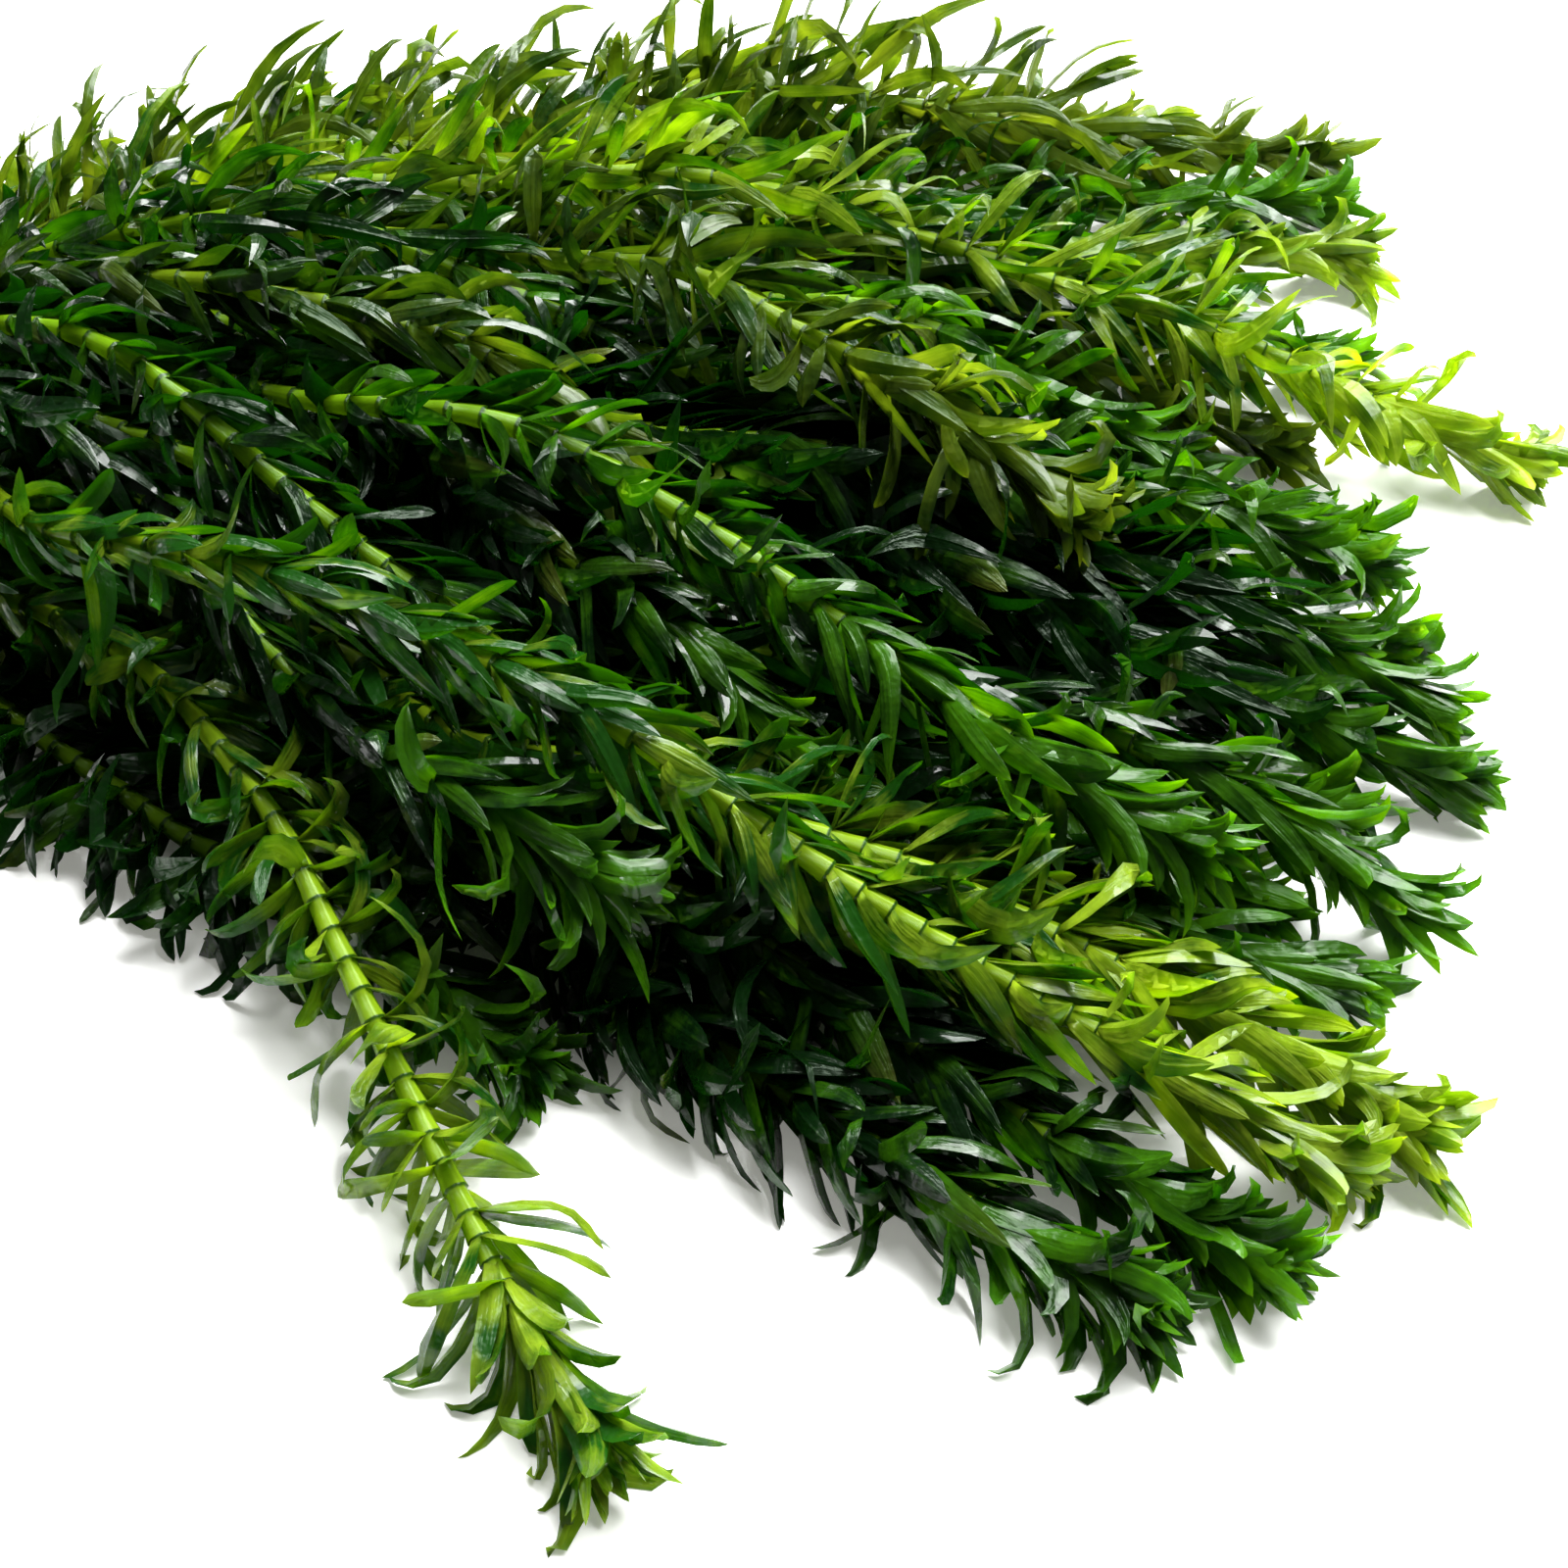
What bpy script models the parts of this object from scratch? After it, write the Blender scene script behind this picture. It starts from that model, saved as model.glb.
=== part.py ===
"""A bunch of waterweed: leafy cut shoots gathered in a band at their cut ends and lying fanned out.

The shoots start in the band, pile up on each other behind it and fan out along +X. Each shoot is one
solid: its stem with the leaf whorls that grow from it, drawn as rows of forward-pointing tufts. The
routes are laid out in polar form around the gathering point, in the middle of the band, and then laid
on each other, so that each shoot rests on the ground or on those below it and none runs through another.
"""

import itertools
import math

import bmesh
import bpy
import numpy as np
from mathutils import Vector

MM = 0.001

# One row for each shoot: how far its tip lies from the gathering point, in mm, the angle of its
# lower half and of its tip from the +X axis, in degrees, how high in the pile it starts, in layers,
# and the tone of its leaves.
SHOOTS = (
    (312, -20, -32, 1.2, "lime"),
    (260, -21, -26, 0.0, "green"),
    (240, -14, -14, 2.8, "green"),
    (260, -18, -15, 2.6, "green"),
    (315, -6, -9, 3.0, "green"),
    (225, -7, -5, 3.2, "olive"),
    (280, 14, 1, 3.4, "olive"),
    (325, 4, 6, 2.6, "green"),
    (285, 17, 8, 3.0, "green"),
    (310, 28, 13, 3.0, "olive"),
    (350, 25, 13, 3.2, "lime"),
    (335, 41, 31, 1.6, "olive"),
    (330, 34, 29, 1.0, "green"),
    (330, 28, 25, 1.0, "lime"),
    (320, 24, 18, 1.4, "green"),
    (320, 9, 9, 2.0, "green"),
    (330, 2, 4, 1.0, "green"),
    (340, 0, 2, 1.6, "green"),
    (345, 3, -1, 0.4, "green"),
    (330, -4, -3, 1.0, "green"),
    (345, -10, -6, 2.0, "green"),
    (340, -13, -9, 1.2, "green"),
    (360, -21, -12, 1.4, "lime"),
    (355, -20, -14, 2.0, "lime"),
    (260, -20, -19, 2.2, "green"),
    (355, -20, -17, 0.8, "green"),
    (345, -18, -20, 0.0, "green"),
    (260, -3, -14, 2.4, "green"),
    (300, -10, -15, 0.0, "green"),
    (305, 9, 7, 0.0, "green"),
    (300, 19, 21, 0.0, "green"),
    (295, 36, 34, 0.0, "olive"),
    (290, 14, 12, 0.6, "green"),
    (295, -2, 0, 0.2, "green"),
    (325, -4, -8, 0.0, "green"),
)

TONES = {
    "green": (0.045, 0.15, 0.02),
    "lime": (0.2, 0.4, 0.04),
    "olive": (0.15, 0.19, 0.03),
}
WET_ROUGHNESS = 0.25
RUBBER_COLOUR = (0.62, 0.42, 0.2)
RUBBER_ROUGHNESS = 0.55

# Sizes of a shoot, in mm: its stem, its leafy outline in the band, along its length and at its tip,
# and how far its cut end, the end of its straight part, its first leaves and its full leaves lie from
# the middle of the band. The band holds it in place a little further than it is straight.
STEM_RADIUS = 1.6
PACKED_RADIUS = 1.8
LEAFY_RADIUS = 10.4
TIP_RADIUS = 6.4
TIP_LENGTH = 24.0
CUT_TAIL = 20.0
STRAIGHT_END = 8.0
HELD_END = 14.0
FIRST_LEAVES = 18.0
FULL_LEAVES = 132.0
GAP = 0.35

# The way from the band: where the spread and the rise end, where the upper half starts to bend and the
# pile to sink, the height of a layer and the sideways waves, in mm, and how much of its height in the
# pile a shoot has lost at its tip.
SPREAD_END = 105.0
RISE_END = 84.0
BEND_START = 110.0
SINK_START = 150.0
SINK_SHARE = 0.8
LAYER = 12.0
WAVE_HEIGHT = 3.0
WAVE_LENGTH = 150.0
GOLDEN_ANGLE = math.pi * (3.0 - math.sqrt(5.0))

# The band round the cut ends, in mm
BAND_WIDTH = 7.5
BAND_THICKNESS = 1.3
BAND_TURNS = 3
BAND_SIDES = 24
GROOVE_SHARE = 0.7
SLOT_ROWS = 4
SWAP_GAIN = 0.001

# Tufts of leaves along a shoot
RING_SIDES = 6
TUFT_COUNT = 10
VALLEY_SHARE = 0.62
WAIST_SHARE = 0.58
TUFT_FRONT = 0.8

# Laying the shoots on each other: points along a shoot, those of its plan, and how much closer they are
# near the cut end
POINTS = 44
FINE_POINTS = 180
POINT_SPREAD = 1.35
# Rounds in all, and those at the end that lower nothing; the drop in mm and the shares of each round
ROUNDS = 400
LEVEL_ROUNDS = 80
DROP = 0.25
PLAN_PULL = 0.012
STIFFNESS = 0.22
CONTACT_WEIGHT = 0.35
# Leaves press into each other and into the ground: the share of their radius that stays clear, and
# the least room round a stem, in mm
PACKED_SHARE = 0.74
GROUND_SHARE = 0.7
STEM_ROOM = 2.6
# Samples along each stretch of a shoot where its distance to the others is measured
SAMPLES = 5


def smooth_step(x):
    """0 below 0, 1 above 1, and an S-shaped rise between them."""
    x = np.clip(x, 0.0, 1.0)
    return x * x * (3.0 - 2.0 * x)


def leafy_radius(travel, length):
    """Radius of a shoot's leaves at a distance from its cut end: bare in the band, full, then closing."""
    past_band = travel - CUT_TAIL
    grown = smooth_step((past_band - FIRST_LEAVES) / (FULL_LEAVES - FIRST_LEAVES))
    closing = smooth_step((travel - (length - TIP_LENGTH)) / TIP_LENGTH)
    full = LEAFY_RADIUS + (TIP_RADIUS - LEAFY_RADIUS) * closing
    return PACKED_RADIUS + (full - PACKED_RADIUS) * grown


def band_slots():
    """Places of the cut ends across the band: the spots of a honeycomb that are closest to its middle."""
    pitch = 2.0 * PACKED_RADIUS + GAP
    row_height = pitch * math.sqrt(3.0) / 2.0
    spots = []
    for row in range(-SLOT_ROWS, SLOT_ROWS + 1):
        for column in range(-SLOT_ROWS - 1, SLOT_ROWS + 2):
            across = (column + 0.5 * (row % 2)) * pitch
            spots.append((across, row * row_height))
    spots.sort(key=lambda spot: (round(math.hypot(*spot), 6), spot))
    return np.array(spots[: len(SHOOTS)])


def slots_for_shoots():
    """Gives each shoot a slot on the side to which it fans out, low or high like its layer: two shoots
    swap their slots wherever that brings the pair closer to where they would be, until no swap helps."""
    slots = band_slots()
    angles = np.array([shoot[1] for shoot in SHOOTS])
    layers = np.array([shoot[3] for shoot in SHOOTS])
    wished = np.stack((angles / np.abs(angles).max(), 2.0 * layers / layers.max() - 1.0), axis=1)
    wished *= slots.max()
    cost = np.sum((wished[:, None] - slots[None]) ** 2, axis=2)
    given = np.arange(len(SHOOTS))
    swapped = True
    while swapped:
        swapped = False
        for a, b in itertools.combinations(range(len(SHOOTS)), 2):
            kept = cost[a, given[a]] + cost[b, given[b]]
            if cost[a, given[b]] + cost[b, given[a]] < kept - SWAP_GAIN:
                given[a], given[b] = given[b], given[a]
                swapped = True
    return slots[given]


def bundle_radius():
    """Radius of the circle round all the packed cut ends."""
    return np.linalg.norm(band_slots(), axis=1).max() + PACKED_RADIUS


def planned_route(index, slot, axis_height):
    """A shoot before it settles, as points from its cut end to its tip: its distance from the gathering
    point grows steadily while its angle swings from straight ahead to its own, with a gentle wave, and
    its height goes from its slot to its layer and sinks to the ground at the tip."""
    reach, lower_angle, tip_angle, layer, _ = SHOOTS[index]
    distance = np.linspace(-CUT_TAIL, reach, FINE_POINTS)
    ahead = np.maximum(distance - STRAIGHT_END, 0.0)
    swing = lower_angle * smooth_step(ahead / SPREAD_END)
    bend = (tip_angle - lower_angle) * smooth_step((ahead - BEND_START) / (reach - BEND_START))
    angle = np.radians(swing + bend)
    in_band = 1.0 - smooth_step(ahead / RISE_END)
    wave_turn = 2.0 * math.pi * ahead / WAVE_LENGTH + index * GOLDEN_ANGLE
    wave = WAVE_HEIGHT * (1.0 - in_band) * np.sin(wave_turn)
    x = np.where(ahead > 0.0, STRAIGHT_END + ahead * np.cos(angle) - wave * np.sin(angle), distance)
    y = ahead * np.sin(angle) + wave * np.cos(angle) + slot[0] * in_band
    sunk = smooth_step((ahead - SINK_START) / (reach - SINK_START))
    pile_height = GROUND_SHARE * LEAFY_RADIUS + LAYER * layer * (1.0 - SINK_SHARE * sunk)
    z = (axis_height + slot[1]) * in_band + pile_height * (1.0 - in_band)
    return spaced_points(np.stack((x, y, z), axis=1))


def spaced_points(route):
    """The same route as POINTS points, closest together near the cut end, where the stems are packed."""
    steps = np.linalg.norm(np.diff(route, axis=0), axis=1)
    travel = np.concatenate(((0.0,), np.cumsum(steps)))
    wanted = travel[-1] * np.linspace(0.0, 1.0, POINTS) ** POINT_SPREAD
    return np.stack([np.interp(wanted, travel, route[:, axis]) for axis in range(3)], axis=1)


def keep_lengths(points, rest):
    """Moves neighbouring points of each shoot towards their own distances apart."""
    for first in (0, 1):
        far = points[:, first + 1 :: 2]
        near = points[:, first:-1:2][:, : far.shape[1]]
        link = far - near
        length = np.linalg.norm(link, axis=2, keepdims=True)
        shift = 0.5 * (1.0 - rest[:, first::2, None][:, : far.shape[1]] / length) * link
        near += shift
        far -= shift


def contact_distances(radii):
    """Least distance between every two points of different shoots, and none between a shoot's own."""
    size = radii.reshape(-1)
    owner = np.repeat(np.arange(len(radii)), POINTS)
    return np.where(owner[:, None] < owner[None, :], size[:, None] + size[None, :] + GAP, 0.0)


def push_apart(points, contact):
    """Moves points of different shoots apart wherever their leaves would run into each other."""
    flat = points.reshape(-1, 3)
    square = np.sum(flat * flat, axis=1)
    apart = square[:, None] + square[None, :] - 2.0 * flat @ flat.T
    first, second = np.nonzero(apart < contact * contact)
    between = flat[second] - flat[first]
    distance = np.maximum(np.linalg.norm(between, axis=1), GAP)
    push = 0.5 * (contact[first, second] - distance)[:, None] * between / distance[:, None]
    moved = np.zeros_like(flat)
    count = np.ones(len(flat))
    np.add.at(moved, first, -push)
    np.add.at(moved, second, push)
    np.add.at(count, np.concatenate((first, second)), CONTACT_WEIGHT)
    points += (moved / count[:, None]).reshape(points.shape)


def laid_down(points, radii):
    """Finds where the shoots lie on each other: round by round they are lowered, straightened, moved
    apart where they touch and kept at their own lengths, near their places and above the ground."""
    plan = points.copy()
    held = plan[:, :, 0] < HELD_END
    rest = np.linalg.norm(np.diff(points, axis=1), axis=2)
    contact = contact_distances(np.maximum(PACKED_SHARE * radii, STEM_ROOM))
    for turn in range(ROUNDS):
        if turn < ROUNDS - LEVEL_ROUNDS:
            points[:, :, 2] -= DROP
        points[:, :, :2] += PLAN_PULL * (plan - points)[:, :, :2]
        middle = 0.5 * (points[:, :-2] + points[:, 2:])
        points[:, 1:-1] += STIFFNESS * (middle - points[:, 1:-1])
        keep_lengths(points, rest)
        push_apart(points, contact)
        points[:, :, 2] = np.maximum(points[:, :, 2], GROUND_SHARE * radii)
        points[held] = plan[held]
    return points


def clear_radii(lines, wanted):
    """Narrows the rings of each shoot where others are close: no ring, nor the stretch on either side of
    it, takes more than half of the way to the nearest line of another shoot."""
    starts = lines[:, :-1]
    runs = lines[:, 1:] - starts
    shares = (np.arange(SAMPLES) + 0.5) / SAMPLES
    narrowed = wanted.copy()
    for index in range(len(lines)):
        others = np.arange(len(lines)) != index
        start = starts[others].reshape(-1, 3)
        run = runs[others].reshape(-1, 3)
        spots = (starts[index][:, None] + shares[None, :, None] * runs[index][:, None]).reshape(-1, 3)
        place = (spots @ run.T - np.sum(start * run, axis=1)) / np.sum(run * run, axis=1)
        nearest = start[None] + np.clip(place, 0.0, 1.0)[:, :, None] * run[None]
        distance = np.linalg.norm(spots[:, None] - nearest, axis=2).min(axis=1)
        room = 0.5 * (distance.reshape(-1, SAMPLES).min(axis=1) - GAP)
        beside = np.minimum(np.append(room, room[-1]), np.insert(room, 0, room[0]))
        narrowed[index] = np.minimum(wanted[index], beside)
    return narrowed


def ring_places(length):
    """Places of a shoot's rings along it, from its cut end: a waist and a tuft's widest ring by turns,
    and last the tip, where the outline closes."""
    bare = CUT_TAIL + FIRST_LEAVES
    ends = np.linspace(bare, length, TUFT_COUNT + 1)
    widest = ends[:-1] + TUFT_FRONT * np.diff(ends)
    leafy = np.stack((widest, ends[1:]), axis=1).reshape(-1)
    return np.concatenate(((0.0, CUT_TAIL + STRAIGHT_END, bare), leafy))


def tuft_of_ring(ring):
    """Number of the tuft whose widest ring this is, or None on a waist."""
    leafy_ring = ring - 3
    return leafy_ring // 2 if leafy_ring >= 0 and leafy_ring % 2 == 0 else None


def ring_line(points):
    """A settled shoot as its ring centres, and how far along it they lie."""
    steps = np.linalg.norm(np.diff(points, axis=0), axis=1)
    travel = np.concatenate(((0.0,), np.cumsum(steps)))
    places = ring_places(travel[-1])
    line = np.stack([np.interp(places, travel, points[:, axis]) for axis in range(3)], axis=1)
    return line, places


def ring_directions(line):
    """Two directions across the shoot at each ring, turned as little as possible from ring to ring."""
    along = np.gradient(line, axis=0)
    along /= np.linalg.norm(along, axis=1, keepdims=True)
    side = np.zeros_like(along)
    last = np.cross(along[0], (0.0, 0.0, 1.0))
    for index, direction in enumerate(along):
        last = last - direction * np.dot(last, direction)
        last /= np.linalg.norm(last)
        side[index] = last
    return side, np.cross(along, side)


def corner_radius(ring, corner, room):
    """Radius of one corner: even on a waist, long and short by turns on a tuft, and swapped on the next."""
    tuft = tuft_of_ring(ring)
    if tuft is None:
        return max(min(STEM_RADIUS, room), WAIST_SHARE * room)
    return room if (corner + tuft) % 2 == 0 else max(min(STEM_RADIUS, room), VALLEY_SHARE * room)


def shoot_solid(name, line, radii, material):
    """One shoot: rings of six corners carried along its line, closed at the cut end and at the tip."""
    side, over = ring_directions(line)
    bm = bmesh.new()
    rings = []
    for ring in range(len(line) - 1):
        corners = []
        for corner in range(RING_SIDES):
            turn = 2.0 * math.pi * corner / RING_SIDES
            radius = corner_radius(ring, corner, radii[ring])
            spot = line[ring] + radius * (math.cos(turn) * side[ring] + math.sin(turn) * over[ring])
            spot[2] = max(spot[2], 0.0)
            corners.append(bm.verts.new(Vector(spot) * MM))
        rings.append(corners)
    for lower, upper in zip(rings, rings[1:]):
        for corner in range(RING_SIDES):
            after = (corner + 1) % RING_SIDES
            bm.faces.new((lower[corner], lower[after], upper[after], upper[corner]))
    cut_centre = bm.verts.new(Vector(line[0]) * MM)
    tip = bm.verts.new(Vector(line[-1]) * MM)
    for corner in range(RING_SIDES):
        after = (corner + 1) % RING_SIDES
        bm.faces.new((cut_centre, rings[0][after], rings[0][corner]))
        bm.faces.new((tip, rings[-1][corner], rings[-1][after]))
    bmesh.ops.triangulate(bm, faces=bm.faces)
    bmesh.ops.recalc_face_normals(bm, faces=bm.faces)
    return add_object(name, bm, material)


def band_solid(material, axis_height, inner_radius):
    """The band: a ring round the cut ends whose outside shows its turns lying side by side."""
    bm = bmesh.new()
    half = BAND_WIDTH / 2.0
    profile = [(half, inner_radius), (-half, inner_radius)]
    turn_width = BAND_WIDTH / BAND_TURNS
    for turn in range(BAND_TURNS):
        start = -half + turn * turn_width
        profile.append((start, inner_radius + GROOVE_SHARE * BAND_THICKNESS))
        profile.append((start + 0.5 * turn_width, inner_radius + BAND_THICKNESS))
    profile.append((half, inner_radius + GROOVE_SHARE * BAND_THICKNESS))
    loop = [bm.verts.new((x * MM, 0.0, radius * MM)) for x, radius in profile]
    edges = [bm.edges.new((loop[i], loop[(i + 1) % len(loop)])) for i in range(len(loop))]
    bmesh.ops.spin(
        bm,
        geom=loop + edges,
        axis=(1.0, 0.0, 0.0),
        cent=(0.0, 0.0, 0.0),
        steps=BAND_SIDES,
        angle=2.0 * math.pi,
        use_merge=True,
    )
    bmesh.ops.remove_doubles(bm, verts=bm.verts, dist=0.01 * MM)
    bmesh.ops.translate(bm, verts=bm.verts, vec=(0.0, 0.0, axis_height * MM))
    bmesh.ops.triangulate(bm, faces=bm.faces)
    bmesh.ops.recalc_face_normals(bm, faces=bm.faces)
    return add_object("band", bm, material)


def add_object(name, bm, material):
    """Puts a finished bmesh into the scene as a named object with its material."""
    mesh = bpy.data.meshes.new(name)
    bm.to_mesh(mesh)
    bm.free()
    mesh.materials.append(material)
    made = bpy.data.objects.new(name, mesh)
    bpy.context.scene.collection.objects.link(made)
    return made


def plain_material(name, colour, roughness):
    """A material of one colour that isn't a metal."""
    material = bpy.data.materials.new(name)
    material.use_nodes = True
    shader = material.node_tree.nodes["Principled BSDF"]
    shader.inputs["Base Color"].default_value = (*colour, 1.0)
    shader.inputs["Roughness"].default_value = roughness
    shader.inputs["Metallic"].default_value = 0.0
    return material


def centre_over_origin(objects):
    """Moves the bunch so that the middle of its box is over the origin and its lowest point is at zero."""
    points = np.array([vertex.co[:] for made in objects for vertex in made.data.vertices])
    low, high = points.min(axis=0), points.max(axis=0)
    shift = Vector((-(low[0] + high[0]) / 2.0, -(low[1] + high[1]) / 2.0, -low[2]))
    for made in objects:
        made.location = shift


def build():
    """Lays out the shoots, gives each the room it has, and makes them and the band."""
    for old in list(bpy.data.objects):
        bpy.data.objects.remove(old)
    tones = {}
    for name, colour in TONES.items():
        tones[name] = plain_material(name + " leaves", colour, WET_ROUGHNESS)
    rubber = plain_material("rubber", RUBBER_COLOUR, RUBBER_ROUGHNESS)

    band_inner = bundle_radius() + GAP
    axis_height = band_inner + BAND_THICKNESS
    slots = slots_for_shoots()
    points = np.array([planned_route(index, slot, axis_height) for index, slot in enumerate(slots)])
    travels = np.cumsum(np.linalg.norm(np.diff(points, axis=1, prepend=points[:, :1]), axis=2), axis=1)
    points = laid_down(points, np.array([leafy_radius(travel, travel[-1]) for travel in travels]))

    lines, places = zip(*[ring_line(shoot) for shoot in points])
    wanted = np.array([leafy_radius(place, place[-1]) for place in places])
    radii = clear_radii(np.array(lines), wanted)
    made = [band_solid(rubber, axis_height, band_inner)]
    for index, line in enumerate(lines):
        tone = tones[SHOOTS[index][-1]]
        made.append(shoot_solid("shoot_%02d" % (index + 1), line, radii[index], tone))
    centre_over_origin(made)


build()
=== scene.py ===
# %% [markdown]
# # A bunch of waterweed
#
# Waterweed is sold as a bunch: some thirty wet shoots, tied at their cut ends, that spread like a fan.
# Each is a jointed, see-through stem with rings of narrow leaves, called whorls, close together at its
# tip and further apart lower down.
#
# The CAD model knows where every shoot runs and how much room its leaves have. This lesson reads both
# from each solid, and grows a real stem and real leaves there.

import math

import bpy
import numpy as np
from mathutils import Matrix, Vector


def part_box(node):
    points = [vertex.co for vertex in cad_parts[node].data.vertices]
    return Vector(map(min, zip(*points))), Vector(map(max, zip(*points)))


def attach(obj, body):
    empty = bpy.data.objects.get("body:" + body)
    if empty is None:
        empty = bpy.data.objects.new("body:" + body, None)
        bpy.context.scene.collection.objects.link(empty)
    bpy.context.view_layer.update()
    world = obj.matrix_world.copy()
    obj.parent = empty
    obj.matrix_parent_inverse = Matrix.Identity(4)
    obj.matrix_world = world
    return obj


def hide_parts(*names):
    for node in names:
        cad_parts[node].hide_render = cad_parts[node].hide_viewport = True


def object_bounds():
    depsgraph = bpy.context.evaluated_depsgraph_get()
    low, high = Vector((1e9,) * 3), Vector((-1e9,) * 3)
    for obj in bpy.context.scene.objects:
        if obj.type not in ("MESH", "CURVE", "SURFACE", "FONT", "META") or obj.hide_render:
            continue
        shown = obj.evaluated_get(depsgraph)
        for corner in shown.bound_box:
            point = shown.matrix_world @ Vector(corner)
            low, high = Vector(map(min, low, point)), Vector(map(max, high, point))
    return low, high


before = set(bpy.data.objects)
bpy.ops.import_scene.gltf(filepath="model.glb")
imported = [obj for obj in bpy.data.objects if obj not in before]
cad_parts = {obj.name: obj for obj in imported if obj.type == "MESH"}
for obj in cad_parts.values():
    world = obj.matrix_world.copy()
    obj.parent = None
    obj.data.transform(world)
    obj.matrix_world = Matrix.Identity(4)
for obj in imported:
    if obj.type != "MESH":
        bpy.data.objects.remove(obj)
CAD_LOW, CAD_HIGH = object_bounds()
MM = 0.001
SHOOTS = sorted(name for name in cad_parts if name.startswith("shoot"))
print(len(SHOOTS), "shoots in a box of", [round(side / MM) for side in CAD_HIGH - CAD_LOW], "mm")

# %% [markdown]
# ## Camera
#
# The picture is taken from 45 degrees above, and its left edge cuts the bunch off. So the camera looks
# at a point out in the fan, measured from the band, because all the shoots' lines meet there.

# %% Camera
EYE_DISTANCE = 390 * MM
EYE_ELEVATION = math.radians(45)
EYE_TURN = math.radians(21)
MIDDLE_FROM_BAND = Vector((238.7 * MM, -35.8 * MM, 0))
LENS_ANGLE = math.radians(35)

band_low, band_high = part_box("band")
BAND_CENTRE = (band_low + band_high) / 2
MIDDLE = Vector((BAND_CENTRE.x, BAND_CENTRE.y, 0)) + MIDDLE_FROM_BAND


def around(turn, elevation, distance):
    """The point at that distance from the picture's middle. Turn 0 is on the camera's side, and it grows
    to the camera's right."""
    angle = EYE_TURN + turn
    flat = math.cos(elevation)
    offset = Vector((math.sin(angle) * flat, -math.cos(angle) * flat, math.sin(elevation)))
    return MIDDLE + distance * offset


def aimed(thing, place):
    """Puts a camera or light at the place, turned so that it looks at the picture's middle."""
    bpy.context.scene.collection.objects.link(thing)
    thing.location = place
    thing.rotation_euler = (MIDDLE - place).to_track_quat("-Z", "Y").to_euler()


eye = bpy.data.objects.new("camera", bpy.data.cameras.new("camera"))
aimed(eye, around(0, EYE_ELEVATION, EYE_DISTANCE))
eye.data.angle = LENS_ANGLE
eye.data.clip_start = 10 * MM
bpy.context.scene.camera = eye
print("camera at", [round(value / MM) for value in eye.location], "mm")

# %% [markdown]
# ## Light
#
# The photo is a bright table shot: the soft shadows fall towards the viewer, and the wet leaves mirror
# something large and pale. So a wide softbox hangs behind the bunch, where the leaves throw its
# reflection at the camera, a smaller key light comes from the upper right, and the sky is dim.

# %% Light
SOFTBOX = {"turn": 172, "elevation": 50, "distance": 1.1, "size": 0.95, "watts": 60}
KEY = {"turn": 118, "elevation": 58, "distance": 1.2, "size": 0.7, "watts": 26}
SKY_COLOUR = (0.97, 1.0, 0.92, 1.0)
SKY_STRENGTH = 0.1


def softbox(name, turn, elevation, distance, size, watts):
    """A square lamp that looks at the picture's middle. A larger one gives softer shadows."""
    lamp = bpy.data.lights.new(name, "AREA")
    lamp.size = size
    lamp.energy = watts
    place = around(math.radians(turn), math.radians(elevation), distance)
    aimed(bpy.data.objects.new(name, lamp), place)


softbox("softbox", **SOFTBOX)
softbox("key", **KEY)
world = bpy.data.worlds.new("studio")
world.use_nodes = True
sky = world.node_tree.nodes["Background"].inputs
sky["Color"].default_value = SKY_COLOUR
sky["Strength"].default_value = SKY_STRENGTH
bpy.context.scene.world = world
bpy.context.scene.view_settings.view_transform = "Standard"

print("two lamps and a sky")

# %% [markdown]
# ## The line of a shoot
#
# A shoot's solid is a row of rings of corners that closes in one tip. The rings are found again by its
# edges: the cut end's corners are ring 0, and each next ring is every corner that one more edge
# reaches. A ring's centre is a point of the shoot's line. The rings are a waist and a tuft by turns,
# and the tufts' mean radius says how much room the leaves have. A smooth curve through the centres,
# with two directions across it, gives every later shape its place.

# %% Rings of a solid
CUT_FLATNESS = 0.01 * MM
SAME_DIGITS = 6


def corners_and_edges(node):
    """The solid's corners with its loose triangles joined again, and its edges as pairs of corners. It
    is closed, so that two triangles share each edge, and the edge is there in both directions."""
    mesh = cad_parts[node].data
    places = np.empty(len(mesh.vertices) * 3, np.float32)
    mesh.vertices.foreach_get("co", places)
    used = np.empty(len(mesh.loops), np.int32)
    mesh.loops.foreach_get("vertex_index", used)
    rounded = np.round(places.reshape(-1, 3), SAME_DIGITS)
    corners, same = np.unique(rounded, axis=0, return_inverse=True)
    triangles = same.reshape(-1)[used].reshape(-1, 3)
    return corners, triangles[:, [0, 1, 1, 2, 2, 0]].reshape(-1, 2)


def rings(node):
    """Centre and mean radius of each ring from the cut end to the tip. Ring k + 1 is every corner without
    a ring that shares an edge with a corner of ring k."""
    corners, edges = corners_and_edges(node)
    ring = np.where(corners[:, 0] < corners[:, 0].min() + CUT_FLATNESS, 0, -1)
    while (ring < 0).any():
        outermost = ring.max()
        reached = edges[(ring[edges[:, 0]] == outermost) & (ring[edges[:, 1]] < 0), 1]
        ring[reached] = outermost + 1
    members = [corners[ring == number] for number in range(ring.max() + 1)]
    centres = np.array([member.mean(axis=0) for member in members])
    radii = [np.linalg.norm(member - centre, axis=1).mean() for member, centre in zip(members, centres)]
    return centres, np.array(radii)


print(len(rings(SHOOTS[0])[0]), "rings in", SHOOTS[0])

# %% A smooth line with room round it
STEP = 1 * MM
BEYOND = 40 * MM
FIRST_TUFT_RING = 3
TUFT_TO_TUFT = 2
LEAST_LENGTH = 1e-12
UP = np.array([0.0, 0.0, 1.0])


def unit(vectors):
    """Each vector divided by its length."""
    return vectors / np.maximum(np.linalg.norm(vectors, axis=-1, keepdims=True), LEAST_LENGTH)


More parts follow.
